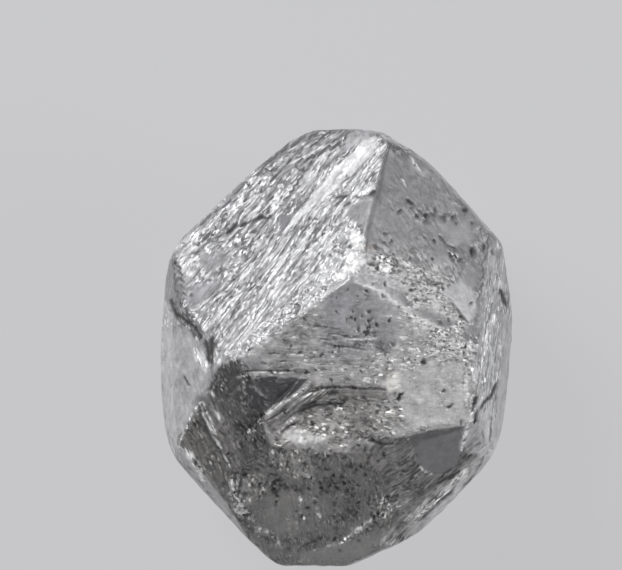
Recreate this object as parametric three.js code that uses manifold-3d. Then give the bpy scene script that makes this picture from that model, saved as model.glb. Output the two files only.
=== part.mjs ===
// A rough diamond: one grey, rounded dodecahedral crystal of about 2.8 carats, lying on its broad back face.
// Millimetres. +X is the crystal's right, +Y runs from its tip to its crown, +Z is up, and the origin is
// on the ground under the middle of the stone.

import * as THREE from 'three';
import { mergeVertices } from 'three/addons/utils/BufferGeometryUtils.js';
import Module from 'manifold-3d';

// Overall size: tip to crown, side to side, and back face to peak.
const length = 8.24;
const width = 6.7;
const depth = 5.75;

// Half the width and half the length, which the ends of the outline reach.
const side = width / 2;
const end = length / 2;

// How far the girdle facets lean in from upright, above and below the outline, in degrees.
const girdleLean = 9;

// The corners of the outline, clockwise from the left end of the crown: across, along, and height.
// The height wanders, so the girdle is a zigzag and not a level belt.
const outline = [
  [-0.27, end, 3.5],
  [0.84, 4.07, 3.9],
  [1.76, 3.49, 3.6],
  [3.13, 1.97, 2.9],
  [side, 0.49, 2.4],
  [3.18, -1.26, 2.3],
  [3.09, -1.73, 2.4],
  [2.88, -2.16, 2.5],
  [1.57, -3.51, 2.5],
  [0.26, -end, 2.3],
  [-1.09, -end, 2.3],
  [-1.62, -3.7, 2.5],
  [-3.08, -2.08, 2.7],
  [-3.21, -1.73, 2.5],
  [-side, -0.51, 2.25],
  [-3.27, 1.18, 2.4],
  [-3.17, 1.69, 2.8],
  [-2.95, 2.06, 3.0],
  [-1.28, 3.62, 3.1],
  [-0.77, 3.97, 3.2],
];

// Where the front facets meet: the peak, and the junctions and rims below it.
const peak = [0.34, 1.34, depth];
const leftShoulder = [-2.22, -0.51, 5.03];
const leftBrow = [-1.82, -0.17, 5.42];
const leftRidge = [-2.56, -1.03, 4.58];
const lowerLeftRim = [-2.5, -2.4, 3.85];
const lowerBrow = [0.07, -1.97, 4.88];
const rightBrow = [1.94, -1.54, 4.46];
const lowerRightRim = [1.94, -2.76, 3.3];
const rightRim = [2.54, -0.04, 4.45];

// Each facet has the compass bearing that it looks towards (0 is +X, 90 is +Y), its tilt from level
// (0 looks straight up, 180 straight down), and a point that it passes through.
const frontFacets = {
  upperLeft: { bearing: 133, tilt: 42, through: peak },
  upperRight: { bearing: 22, tilt: 40, through: peak },
  centre: { bearing: -82, tilt: 15, through: peak },
  centreRight: { bearing: -20.6, tilt: 27, through: peak },
  leftSide: { bearing: 182, tilt: 54.2, through: leftShoulder },
  lowerLeft: { bearing: 219, tilt: 37, through: leftBrow },
  lowerLeftRidge: { bearing: 217, tilt: 42, through: leftRidge },
  lowerLeftRim: { bearing: 221, tilt: 75, through: lowerLeftRim },
  bottom: { bearing: -92, tilt: 50, through: lowerBrow },
  lowerRight: { bearing: -55, tilt: 48, through: rightBrow },
  lowerRightRim: { bearing: -47.6, tilt: 69.7, through: lowerRightRim },
  rightSide: { bearing: 0, tilt: 70, through: rightRim },
};

const backFacets = {
  restFace: { bearing: 0, tilt: 180, through: [0, 0, 0] },
  backCrown: { bearing: 97, tilt: 129, through: [0.07, 3.71, 1.55] },
  backUpperLeft: { bearing: 146, tilt: 134, through: [-2.46, 2.49, 1.5] },
  backLeft: { bearing: 196, tilt: 131, through: [-3.08, -0.41, 1.15] },
  backLowerLeft: { bearing: 231, tilt: 126, through: [-2.22, -2.66, 1.2] },
  backTip: { bearing: 262, tilt: 127, through: [-0.31, -3.6, 1.15] },
  backLowerRight: { bearing: -47, tilt: 128, through: [2.09, -2.66, 1.15] },
  backRight: { bearing: -8, tilt: 133, through: [3.03, -0.41, 1.05] },
  backUpperRight: { bearing: 42, tilt: 131, through: [2.36, 2.96, 1.55] },
};

// Shell-shaped hollows, each cut by a ball: the fracture below the centre, the nick in the right-hand
// edge, and two long shallow dips in the outline, at the lower left and beside the crown.
const hollows = {
  fracture: { middle: [-0.55, -1.5, 5.34], radii: [0.78, 0.54, 0.46] },
  nick: { middle: [3.42, 1.33, 2.95], radii: [0.28, 0.24, 0.9] },
  lowerLeftDip: { middle: [-4.66, -5.09, 2.6], radii: [3.1, 3.1, 3.1] },
  crownDip: { middle: [2.17, 5.08, 3.9], radii: [1.52, 1.52, 1.52] },
};

// How finely those balls are divided, around and from pole to pole.
const ballSegments = [72, 36];

// The step under the centre facet, where a slip of the crystal has broken away. Its floor looks along
// the bearing and tilt, and its wall follows the line from the step's head to its foot.
const step = {
  bearing: -86,
  tilt: 30.3,
  head: [-0.59, -0.45, 5.31],
  foot: [-1.39, -1.26, 4.87],
};

// A block well clear of the stone on every side, which the facets are cut from.
const blockSize = 4 * length;
const up = new THREE.Vector3(0, 0, 1);

const wasm = await Module();
wasm.setup();

// A closed three.js geometry as a solid, by its positions alone.
function solidOf(geometry) {
  const bare = geometry.clone();
  bare.deleteAttribute('normal');
  bare.deleteAttribute('uv');
  const merged = mergeVertices(bare);
  return new wasm.Manifold(new wasm.Mesh({
    numProp: 3,
    vertProperties: new Float32Array(merged.attributes.position.array),
    triVerts: new Uint32Array(merged.index.array),
  }));
}

// A solid as a flat-shaded three.js geometry.
function geometryOf(solid) {
  const { vertProperties, triVerts } = solid.getMesh();
  const shared = new THREE.BufferGeometry();
  shared.setAttribute('position', new THREE.BufferAttribute(vertProperties, 3));
  shared.setIndex(new THREE.BufferAttribute(triVerts, 1));
  const flat = shared.toNonIndexed();
  flat.computeVertexNormals();
  return flat;
}

// The direction that a facet looks, from its bearing and its tilt in degrees.
function facing({ bearing, tilt }) {
  const around = THREE.MathUtils.degToRad(bearing);
  const down = THREE.MathUtils.degToRad(tilt);
  return new THREE.Vector3(
    Math.sin(down) * Math.cos(around),
    Math.sin(down) * Math.sin(around),
    Math.cos(down),
  );
}

// The block outside a facet: its floor lies on the facet.
function outside(normal, through) {
  const block = new THREE.BoxGeometry(blockSize, blockSize, blockSize);
  block.translate(0, 0, blockSize / 2);
  block.applyQuaternion(new THREE.Quaternion().setFromUnitVectors(up, normal));
  block.translate(...through);
  return solidOf(block);
}

// The two facets along one side of the outline, one leaning in above it and one below.
function girdleFacets(from, to) {
  const along = new THREE.Vector3(...to).sub(new THREE.Vector3(...from));
  const outward = new THREE.Vector3().crossVectors(up, along).normalize();
  const rise = new THREE.Vector3().crossVectors(along, outward).normalize();
  const lean = THREE.MathUtils.degToRad(girdleLean);
  return [lean, -lean].map((angle) => ({
    normal: outward.clone().multiplyScalar(Math.cos(angle)).addScaledVector(rise, Math.sin(angle)),
    through: from,
  }));
}

// A flattened ball that scoops out a hollow.
function scoop({ middle, radii }) {
  const ball = new THREE.SphereGeometry(1, ...ballSegments);
  ball.scale(...radii);
  ball.translate(...middle);
  return solidOf(ball);
}

// The block that breaks out the step: its floor is the step's floor, and one side is the step's wall.
function stepBlock({ head, foot }) {
  const normal = facing(step);
  const start = new THREE.Vector3(...head);
  const along = new THREE.Vector3(...foot).sub(start).projectOnPlane(normal).normalize();
  const across = new THREE.Vector3().crossVectors(normal, along);
  const block = new THREE.BoxGeometry(length, length, length);
  block.translate(0, -length / 2, length / 2);
  block.applyMatrix4(new THREE.Matrix4().makeBasis(along, across, normal));
  block.translate(...head);
  return solidOf(block);
}

// Moves the stone so that it rests on the ground with the middle of its outline over the origin.
function groundedAndCentred(geometry) {
  geometry.computeBoundingBox();
  const { min, max } = geometry.boundingBox;
  return geometry.translate(-(min.x + max.x) / 2, -(min.y + max.y) / 2, -min.z);
}

// The crystal: a block cut back to every facet in turn, then broken at the step and the hollows.
function crystalGeometry() {
  const facets = [...Object.values(frontFacets), ...Object.values(backFacets)].map((facet) => ({
    normal: facing(facet),
    through: facet.through,
  }));
  outline.forEach((corner, index) => {
    facets.push(...girdleFacets(corner, outline[(index + 1) % outline.length]));
  });

  let crystal = solidOf(new THREE.BoxGeometry(2 * length, 2 * length, 2 * length));
  for (const { normal, through } of facets) {
    crystal = crystal.subtract(outside(normal, through));
  }
  crystal = crystal.subtract(stepBlock(step));
  for (const hollow of Object.values(hollows)) {
    crystal = crystal.subtract(scoop(hollow));
  }
  return groundedAndCentred(geometryOf(crystal));
}

// Grey diamond with a silvery, slightly greasy lustre.
const greyDiamond = new THREE.MeshStandardMaterial({
  name: 'greyDiamond',
  color: '#9c9c9f',
  roughness: 0.28,
  metalness: 0,
});

const roughDiamond = new THREE.Mesh(crystalGeometry(), greyDiamond);
roughDiamond.name = 'rough_diamond';

const stone = new THREE.Group();
stone.add(roughDiamond);

export default stone;
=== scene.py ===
"""A rough diamond, grey and silvery, lying on its back on a plain pale floor.

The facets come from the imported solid. This script breaks up and wears their edges, works striations, flakes
and crumbs into them, marks the photographed side as the photograph shows it, and gives the stone its
adamantine finish. Lengths are in millimetres until a mesh is written, which is in metres.
"""

import functools
import math

import bmesh
import bpy
import numpy as np
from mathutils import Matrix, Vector
from mathutils.bvhtree import BVHTree


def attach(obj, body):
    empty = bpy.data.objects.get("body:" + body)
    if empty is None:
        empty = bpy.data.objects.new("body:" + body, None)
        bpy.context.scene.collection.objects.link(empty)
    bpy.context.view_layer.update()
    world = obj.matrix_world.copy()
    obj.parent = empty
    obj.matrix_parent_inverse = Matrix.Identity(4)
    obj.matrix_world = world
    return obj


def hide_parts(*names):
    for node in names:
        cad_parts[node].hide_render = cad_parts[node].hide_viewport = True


MM = 0.001

# The photograph's frame, and the real size of one of its pixels at the stone's outline.
PHOTO_WIDTH_PX = 622
PHOTO_MIDDLE_PX = (311.0, 285.0)
STONE_MIDDLE_PX = (336.3, 347.9)
MM_PER_PX = 0.01875

# Inside the stone, at the height of its outline: every point of the surface is seen from here.
HEART = np.array([0.0, 0.0, 2.7])

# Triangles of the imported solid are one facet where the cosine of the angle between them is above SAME_NORMAL
# and their planes are within SAME_PLANE. Triangles and facets below these areas aren't counted as facets.
SAME_NORMAL = 0.9998
SAME_PLANE = 0.02
LEAST_TRIANGLE = 1e-5
LEAST_FACET = 0.1

# How closely a facet has to look the way that a finish of the photographed side says, as a cosine.
SAME_LOOK = 0.999

# A facet whose normal rises less than this is upright, and its grain is measured from level.
UPRIGHT = 0.25

# The ball of triangles that becomes the surface starts even. Each step then divides what is above a height
# of the unit ball, and what is within a margin, in pixels, of a mark. A margin of 0 leaves the marks out.
BALL_SUBDIVISIONS = 6
BALL_STEPS = ((-0.4, 0), (0.41, 1.6), (1, 0.3))

# How sharply two facets meet, where they are fresh and round the girdle, and how sharply their finishes
# change: more is sharper. The girdle is this wide, as a height of the unit ball.
FRESH_EDGE = 190
GIRDLE_EDGE = 100
FINISH_EDGE = 500
GIRDLE_REACH = 0.3

# How far the facets' planes swing in and out where two of them meet, and how near they have to be to meet,
# as shares of their distance, and the sizes of a long swing and a short one.
EDGE_RIPPLE = 0.011
RIPPLE_REACH = 0.03
LONG_RIPPLE = 0.5
SHORT_RIPPLE = 0.17

# The photographed side fades in between two heights, and between two upward parts of the surface's normal.
FRONT_HEIGHTS = (2.3, 2.6)
FRONT_NORMALS = (0.02, 0.12)

# How wide the plain seam along the edges of the hidden side is, and how much narrower it is at the front, as
# shares of the distance from the heart. Striations and crumbs end at its borders.
HIDDEN_SEAM = 0.014
SEAM_NARROWING = 0.009

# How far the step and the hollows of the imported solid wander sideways, as a share of their distance, and how
# deep they have to be to show. Corners of the solid that are nearer than that are merged.
BREAK_SWAY = 0.011
LEAST_BREAK = 0.002

# How far patches and marks wander, and the size of the wave that moves them, so that none is ruled.
SWAY_REACH = 0.02
SWAY_SIZE = 0.16

# How high the relief stands: swells of the whole stone, ridges and splinters along the grain, the crumbs of
# etched places, and chips along the edges, which are deeper on the photographed side by CHIP_DEEPENING.
LONG_SWELL = 0.014
SHORT_SWELL = 0.006
RIDGE = 0.006
SPLINTER = 0.009
ETCHING = 0.012
HIDDEN_CHIP = 0.015
CHIP_DEEPENING = 0.015
CHIP_REACH = 0.012
CHIP_SIZE = 0.3

# How far the grain bends, how large the shells of a broken patch are, and how much lighter and darker the
# body goes on the hidden side.
GRAIN_BEND = 0.12
SHELL_SIZE = 0.22
MOTTLING = 0.3

# What marks do where they are strongest: their height, their colour, and how dull they are.
CRACK = {"height": -0.022, "body": "#1c1c1e", "matt": 3}
# A ledge's near-white body is a painted glint, laid along its raised relief.
LEDGE_AND_GLINT = {"height": 0.012, "body": "#f8f8f9", "matt": 1}
SPECK = {"height": -0.014, "body": "#0e0e0f", "matt": 3}

# Thin cracks and ledges come and go, and broad ones don't: the widths between which that changes, in pixels.
BROKEN_WIDTHS = (2.6, 5.0)

# How many specks are scattered over the photographed side besides the named ones, and how large they are.
STRAY_SPECKS = 420
STRAY_SIZES = (0.04, 0.085)

# How far a speck spreads, as a share of its size, and the least and the most of its turn, stretch and depth.
SPECK_SPREAD = 0.46
SPECK_LEAST = (0, 1, 0.55)
SPECK_MOST = (math.pi, 1.9, 1)

# The finest patterns, which are in the material: their sizes across the grain, along it and through it.
# Real striations and etched crumbs go finer still, and these are as coarse as they need to be to show.
THREADS = (0.045, 0.5, 0.3)
SLIVERS = (0.06, 0.4, 0.3)
CRUMBS = (0.037, 0.08, 0.05)
DOTS = (0.12, 0.2, 0.16)

# The seed of each random pattern, so that the stone comes out the same each time.
SEEDS = {
    "ripple": 40, "breakage": 12, "sway": 61, "shells": 33, "wide": 3, "fine": 8, "crumble": 77, "specks": 19,
}

# The camera's height over the stone's outline, the width of its film, and the radius of the floor.
CAMERA_HEIGHT = 400.0
FILM_WIDTH = 36.0
FLOOR_RADIUS = 600

# Each softbox: the bearing and tilt that it stands at, its distance, its width, and its power in watts.
SOFTBOXES = {
    "key_softbox": (130, 52, 120, 60, 0.103),
    "right_softbox": (5, 68, 120, 60, 0.055),
    "front_softbox": (-105, 78, 120, 50, 0.012),
}
STUDIO_GREY = "#707071"

# The finish of each facet of the photographed side. looks: its bearing and tilt. grain: the way that its
# striations run in the photograph, in degrees from the right. body: its own grey. striped, rough and
# specked: how strong its striations, its crumbly etching and its black specks are. matt: how dull it is.
FRONT_FINISHES = {
    "upper left": {
        "looks": (133, 42), "grain": 53, "body": "#a0a0a3",
        "striped": 0.85, "rough": 0.55, "specked": 0.1, "matt": 0.72},
    "upper right": {
        "looks": (22, 40), "grain": -52, "body": "#616165",
        "striped": 0.1, "rough": 0.15, "specked": 0.12, "matt": 0.9},
    "centre": {
        "looks": (-82, 15), "grain": -3, "body": "#bfbdbe",
        "striped": 0.25, "rough": 0.5, "specked": 0.6, "matt": 0.6},
    "centre right": {
        "looks": (-20.6, 27), "grain": -3, "body": "#d0cfcf",
        "striped": 0.25, "rough": 1.1, "specked": 0.4, "matt": 0.75},
    "left side": {
        "looks": (182, 54.2), "grain": 105, "body": "#a0a0a3",
        "striped": 0.2, "rough": 0.2, "specked": 0.25, "matt": 0.6},
    "lower left": {
        "looks": (219, 37), "grain": 115, "body": "#565455",
        "striped": 0.8, "rough": 2.2, "specked": 1.3, "matt": 0.5},
    "lower left ridge": {
        "looks": (217, 42), "grain": 115, "body": "#716f6c",
        "striped": 0.8, "rough": 1.9, "specked": 1.2, "matt": 0.5},
    "lower left rim": {
        "looks": (221, 75), "grain": 120, "body": "#8b8a8b",
        "striped": 0.3, "rough": 0.3, "specked": 0.4, "matt": 0.3},
    "bottom": {
        "looks": (-92, 50), "grain": 101, "body": "#52504d",
        "striped": 0.7, "rough": 2.2, "specked": 1.6, "matt": 0.6},
    "lower right": {
        "looks": (-55, 48), "grain": 40, "body": "#605e5d",
        "striped": 0.7, "rough": 1.0, "specked": 0.4, "matt": 0.5},
    "lower right rim": {
        "looks": (-47.6, 69.7), "grain": 46, "body": "#9c9b9b",
        "striped": 0.9, "rough": 0.2, "specked": 0.3, "matt": 0.3},
    "right side": {
        "looks": (0, 70), "grain": 82, "body": "#bababc",
        "striped": 1.0, "rough": 0.8, "specked": 0.3, "matt": 0.4},
}

# The girdle and the back, in the same kinds of finish.
HIDDEN_FINISHES = [
    {"grain": 35, "body": "#b4b4b6", "striped": 0.8, "rough": 0.7, "specked": 0.4, "matt": 0.3},
    {"grain": 118, "body": "#969597", "striped": 0.4, "rough": 1.0, "specked": 0.8, "matt": 0.6},
    {"grain": 80, "body": "#bcbcbe", "striped": 0.9, "rough": 0.6, "specked": 0.3, "matt": 0.4},
    {"grain": 10, "body": "#a4a4a5", "striped": 0.6, "rough": 0.9, "specked": 0.6, "matt": 0.5},
]

# Places of the photographed side that have a finish of their own, each inside an outline in pixels of the
# photograph. They name what differs from the facet that they are on. soft: how wide their border is, in
# pixels. cover: how much of the body colour they take. lobes: how deeply they are broken into shells, in
# millimetres.
PATCHES = {
    "flow across the centre": {
        "outline": [(367, 252), (340, 284), (296, 320), (240, 358), (240, 372), (310, 376), (350, 404),
                    (400, 430), (464, 424), (482, 330), (478, 300), (440, 276), (400, 256)],
        "soft": 1, "grain": -3},
    "foot of the upper right": {
        "outline": [(364, 250), (400, 246), (450, 262), (482, 300), (478, 338), (440, 312), (400, 290),
                    (366, 272)],
        "soft": 14, "body": "#8a8a8c", "cover": 0.9, "striped": 0.1, "rough": 0.5},
    "shade of the centre": {
        "outline": [(322, 292), (372, 254), (394, 282), (402, 320), (392, 354), (322, 354)],
        "soft": 18, "body": "#b0aeb2", "cover": 1.0, "rough": 0.15},
    # Painted shade: this bay is on the upper left facet's plane, which faces the key light, and its dark body
    # brings it down to the tone of the upper right facet beside it.
    "bay of painted shade": {
        "outline": [(379, 180), (374, 200), (359, 202), (350, 208), (347, 217), (357, 225), (366, 240),
                    (376, 244)],
        "soft": 3, "body": "#727276", "cover": 1.0, "striped": 0.1, "rough": 0.15, "matt": 1.2},
    "chipped rim": {
        "outline": [(347, 219), (359, 226), (365, 240), (366, 262), (358, 273), (346, 279), (334, 285),
                    (332, 292), (314, 306), (296, 320), (281, 333), (262, 345), (243, 356), (226, 364),
                    (222, 355), (240, 342), (258, 328), (280, 312), (300, 294), (318, 277), (325, 262),
                    (331, 246), (339, 232)],
        "soft": 3, "body": "#dedee0", "cover": 0.65,
        "striped": 0.4, "rough": 1.0, "lobes": 0.035, "matt": 0.7},
    "upper lobe of the rim": {
        "outline": [(350, 236), (358, 232), (364, 240), (364, 248), (356, 250), (350, 246)],
        "soft": 2, "body": "#fbfbfc", "cover": 1.0, "striped": 0.0, "rough": 0.4, "matt": 1.0},
    "great lobe of the rim": {
        "outline": [(344, 256), (353, 251), (364, 254), (366, 263), (358, 271), (346, 272), (342, 264)],
        "soft": 2, "body": "#fbfbfc", "cover": 1.0, "striped": 0.0, "rough": 0.4, "matt": 1.0},
    "lower lobe of the rim": {
        "outline": [(334, 272), (344, 270), (347, 276), (338, 281), (332, 279)],
        "soft": 2, "body": "#fbfbfc", "cover": 1.0, "striped": 0.0, "rough": 0.4, "matt": 1.0},
    "inner lobe of the rim": {
        "outline": [(320, 262), (327, 257), (334, 262), (333, 270), (325, 273), (319, 269)],
        "soft": 2, "body": "#ececee", "cover": 0.8, "striped": 0.0, "rough": 0.5},
    "polished band": {
        "outline": [(366, 140), (380, 138), (380, 149), (371, 157), (350, 176), (333, 192), (314, 206),
                    (295, 224), (281, 236), (289, 225), (301, 209), (314, 194), (329, 176), (346, 157)],
        "soft": 2, "body": "#f2f2f4", "cover": 0.9, "striped": 0.25, "rough": 0.0, "matt": 0.5},
    "torn hollow beside the band": {
        "outline": [(313, 190), (307, 199), (297, 212), (291, 216), (280, 215), (288, 204), (298, 195)],
        "soft": 2, "body": "#4c4c50", "cover": 0.7, "striped": 0.3, "rough": 1.0},
    "grey wedge beside the band": {
        "outline": [(279, 214), (293, 215), (281, 235)],
        "soft": 1.5, "body": "#5d5d63", "cover": 0.95, "striped": 0.0, "rough": 0.05},
    "grey tongue under the crown": {
        "outline": [(321, 164), (330, 156), (341, 152), (340, 158), (331, 166), (323, 168)],
        "soft": 2, "body": "#5e5e62", "cover": 0.7, "striped": 0.4, "rough": 0.2},
    "grey edge of the crown": {
        "outline": [(268, 163), (279, 151), (291, 147), (291, 152), (280, 160)],
        "soft": 2, "body": "#69696d", "cover": 0.85, "striped": 0.1, "rough": 0.1},
    "dark crown": {
        "outline": [(321, 143), (329, 137), (344, 130), (345, 135), (335, 141), (327, 144)],
        "soft": 2, "body": "#55555a", "cover": 0.7, "striped": 0.3, "rough": 0.1},
    "smooth crown": {
        "outline": [(340, 131), (375, 131), (378, 137), (362, 142), (348, 152), (342, 150), (350, 138)],
        "soft": 3, "body": "#a8a8ac", "cover": 0.7, "striped": 0.3, "rough": 0.1},
    "crumbled slope at the left": {
        "outline": [(176, 256), (206, 222), (250, 178), (292, 158), (304, 176), (276, 212), (262, 244),
                    (236, 280), (214, 312), (190, 312)],
        "soft": 12, "striped": 1.0, "rough": 0.85, "grain": 48},
    "crown flakes": {
        "outline": [(262, 168), (284, 150), (320, 130), (346, 129), (346, 142), (300, 162), (276, 178)],
        "soft": 6, "striped": 1.1, "rough": 0.75, "grain": 34},
    "smooth patch at the left": {
        "outline": [(198, 252), (210, 246), (222, 250), (225, 260), (214, 271), (200, 268)],
        "soft": 9, "body": "#7f7f84", "cover": 0.7, "striped": 0.2, "rough": 0.3},
    "smooth patch at the lower left": {
        "outline": [(182, 285), (200, 282), (221, 281), (216, 290), (201, 302), (188, 306)],
        "soft": 8, "body": "#8d8d92", "cover": 0.8, "striped": 0.1, "rough": 0.2},
    "bright left brow": {
        "outline": [(174, 248), (200, 226), (206, 232), (192, 246), (180, 260), (174, 262)],
        "soft": 3, "body": "#e4e4e6", "cover": 0.5, "striped": 0.2, "rough": 1.2},
    "grey left wall": {
        "outline": [(164, 254), (175, 252), (182, 288), (185, 304), (176, 306), (163, 300)],
        "soft": 2, "body": "#6d6d70", "cover": 0.8, "striped": 0.1, "rough": 0.6},
    "smudge under the peak": {
        "outline": [(380, 153), (390, 150), (392, 164), (380, 165)],
        "soft": 4, "body": "#5c5c60", "cover": 0.6},
    "speckled top corner": {
        "outline": [(384, 135), (392, 135), (404, 147), (402, 156), (388, 150)],
        "soft": 3, "body": "#5c5c60", "cover": 0.4, "rough": 0.8, "specked": 1.5},
    "outer slope at the right": {
        "outline": [(409, 153), (424, 176), (456, 206), (484, 240), (498, 262), (504, 256), (498, 232),
                    (470, 196), (440, 168), (414, 150)],
        "soft": 3, "body": "#8b8b8f", "cover": 0.7, "striped": 0.3, "rough": 0.3},
    "upper drift of specks": {
        "outline": [(404, 200), (430, 206), (458, 214), (462, 226), (432, 228), (410, 216)],
        "soft": 4, "rough": 0.4, "specked": 2.4},
    "right drift of specks": {
        "outline": [(446, 236), (486, 240), (502, 252), (498, 266), (452, 264)],
        "soft": 5, "rough": 0.5, "specked": 2.0},
    "satin window": {
        "outline": [(438, 224), (466, 221), (474, 240), (452, 247)],
        "soft": 4, "body": "#97979b", "cover": 0.6, "striped": 0.0, "rough": 0.0, "specked": 0.0},
    "brown spot at the junction": {
        "outline": [(363, 243), (378, 244), (377, 251), (365, 253)],
        "soft": 2, "body": "#7d756c", "cover": 0.6, "rough": 0.6},
    "crumbs under the junction": {
        "outline": [(372, 255), (392, 255), (411, 261), (406, 271), (382, 277), (366, 270)],
        "soft": 3, "body": "#d8d8d6", "cover": 0.35, "rough": 1.4, "specked": 1.2},
    "pale etched brow": {
        "outline": [(398, 268), (432, 266), (452, 284), (464, 308), (446, 318), (420, 308), (404, 298)],
        "soft": 7, "body": "#a3a3a3", "cover": 0.8, "rough": 0.75},
    "pale window": {
        "outline": [(438, 290), (462, 280), (476, 300), (470, 322), (452, 306)],
        "soft": 4, "body": "#b3b3b6", "cover": 0.6, "striped": 0.0, "rough": 0.1, "specked": 0.1},
    "bright crumbs at the right": {
        "outline": [(428, 326), (446, 328), (461, 320), (465, 340), (452, 350), (434, 348)],
        "soft": 4, "body": "#e6e6e4", "cover": 0.45, "rough": 1.4},
    "pale field": {
        "outline": [(404, 370), (430, 366), (462, 362), (463, 414), (446, 424), (420, 427), (405, 426),
                    (400, 400)],
        "soft": 6, "body": "#d2d1d1", "cover": 0.75, "striped": 0.1, "rough": 0.3, "specked": 0.25},
    "warm glow": {
        "outline": [(385, 372), (399, 371), (401, 392), (387, 392)],
        "soft": 5, "body": "#fffdf8", "cover": 1.0, "rough": 0.5},
    "lower warm glow": {
        "outline": [(377, 409), (394, 408), (397, 422), (377, 423)],
        "soft": 4, "body": "#fffdf8", "cover": 1.0, "striped": 0.5, "rough": 0.35},
    "bright crumbs of the centre": {
        "outline": [(358, 352), (394, 352), (398, 366), (388, 374), (356, 372)],
        "soft": 5, "body": "#cfcdca", "cover": 0.3, "rough": 1.0},
    "fine layers of the centre": {
        "outline": [(290, 322), (330, 318), (372, 330), (392, 352), (360, 376), (312, 380), (276, 366)],
        "soft": 14, "striped": 0.5, "rough": 0.7},
    "dark layers": {
        "outline": [(312, 385), (350, 384), (386, 387), (388, 400), (346, 403), (314, 399)],
        "soft": 3, "body": "#66615e", "cover": 0.7, "striped": 0.9, "rough": 0.6},
    # Painted shade: the window faces down, away from the light, and its near-black body stands in for that
    # shade.
    "window of painted shade": {
        "outline": [(244, 380), (271, 376), (308, 378), (291, 396), (272, 406), (260, 413), (250, 407),
                    (245, 394)],
        "soft": 1.5, "body": "#333338", "cover": 0.97, "striped": 0.1, "rough": 0.5, "specked": 0.2},
    "black corner by the window": {
        "outline": [(225, 371), (240, 370), (240, 375), (226, 377)],
        "soft": 1.5, "body": "#2e2c2d", "cover": 0.8},
    "specks of the left vein": {
        "outline": [(168, 298), (182, 300), (204, 328), (202, 342), (186, 332), (174, 318)],
        "soft": 4, "body": "#77777a", "cover": 0.5, "rough": 1.4, "specked": 3.0},
    "shelf by the window": {
        "outline": [(224, 377), (243, 379), (246, 398), (262, 416), (262, 436), (236, 430), (214, 398)],
        "soft": 3, "body": "#4d4b4c", "cover": 0.7, "rough": 1.9, "specked": 1.5},
    "pale tongue": {
        "outline": [(243, 361), (262, 356), (266, 368), (243, 370)],
        "soft": 3, "body": "#a1a1a5", "cover": 0.7, "rough": 0.0, "striped": 0.05},
    "shells over the bowl": {
        "outline": [(264, 418), (268, 409), (290, 397), (310, 380), (322, 386), (344, 396), (344, 404),
                    (320, 402), (304, 408), (288, 419), (272, 436)],
        "soft": 2, "body": "#8d8a88", "cover": 0.8, "striped": 1.3, "rough": 0.4, "grain": 37, "matt": 0.6},
    # Its pale body is partly the white of crushed stone and partly painted light that lifts the shade on the
    # hollow's upper wall.
    "crushed bowl with painted light": {
        "outline": [(304, 408), (320, 402), (345, 405), (352, 428), (345, 450), (325, 456), (300, 453),
                    (275, 447), (273, 433), (290, 418)],
        "soft": 4, "body": "#c9c6c4", "cover": 0.8, "striped": 0.1, "rough": 1.4, "lobes": 0.02, "matt": 0.8},
    "smooth chip in the bowl": {
        "outline": [(283, 434), (292, 429), (300, 430), (304, 439), (312, 446), (323, 452), (302, 445),
                    (288, 440)],
        "soft": 1.5, "body": "#d0d0d0", "cover": 0.9, "striped": 0.0, "rough": 0.1, "matt": 1.5},
    "lower smooth chip": {
        "outline": [(303, 431), (316, 434), (328, 440), (328, 451), (318, 451), (308, 443)],
        "soft": 2, "body": "#c6c5c5", "cover": 0.9, "striped": 0.0, "rough": 0.2, "matt": 1.5},
    "crumbs beside the bowl": {
        "outline": [(344, 403), (374, 402), (396, 408), (398, 424), (380, 436), (352, 440)],
        "soft": 5, "body": "#98948f", "cover": 0.5, "rough": 1.1, "specked": 1.4},
    "dark slope under the glow": {
        "outline": [(352, 444), (380, 446), (402, 438), (414, 452), (410, 470), (380, 468), (352, 462)],
        "soft": 6, "body": "#757270", "cover": 0.7, "rough": 0.5, "specked": 1.0},
    "dark block": {
        "outline": [(408, 437), (426, 431), (443, 429), (458, 425), (466, 427), (462, 450), (457, 468),
                    (440, 473), (424, 471), (416, 460)],
        "soft": 2, "body": "#5f5f62", "cover": 0.9, "striped": 0.05, "rough": 0.05, "specked": 0.1},
    "light left face": {
        "outline": [(163, 330), (188, 326), (206, 356), (214, 372), (198, 402), (184, 428), (176, 442),
                    (164, 420)],
        "soft": 5, "body": "#b6b6b9", "cover": 0.6, "striped": 0.15, "rough": 0.1, "specked": 0.2},
    "bright flecks above the left face": {
        "outline": [(194, 346), (204, 352), (211, 366), (206, 374), (196, 360)],
        "soft": 2, "body": "#ececee", "cover": 0.7, "rough": 0.8},
    "crumbs above the bottom": {
        "outline": [(272, 446), (312, 450), (314, 478), (290, 478), (270, 460)],
        "soft": 5, "body": "#aaa7a4", "cover": 0.7, "rough": 1.8},
    "crumbs at the bottom's rim": {
        "outline": [(233, 474), (266, 473), (266, 490), (246, 504), (237, 498)],
        "soft": 3, "body": "#aaa7a4", "cover": 0.7, "rough": 1.8},
    "warm middle of the bottom": {
        "outline": [(262, 496), (296, 490), (300, 530), (276, 534)],
        "soft": 8, "body": "#736f6b", "cover": 0.7, "striped": 0.3, "rough": 0.7, "specked": 0.2},
    "combed flecks of the bottom": {
        "outline": [(290, 488), (324, 486), (330, 530), (306, 536), (296, 512)],
        "soft": 14, "body": "#65625f", "cover": 0.6, "striped": 1.5, "rough": 1.2},
    "dark middle of the bottom": {
        "outline": [(314, 470), (364, 474), (376, 500), (350, 520), (330, 508)],
        "soft": 14, "body": "#2f2d2b", "cover": 0.85},
    "crumbs right of the bottom": {
        "outline": [(368, 500), (386, 494), (396, 502), (386, 516), (370, 518)],
        "soft": 8, "body": "#a5a29f", "cover": 0.5, "rough": 1.8},
    "smooth lowest band": {
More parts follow.
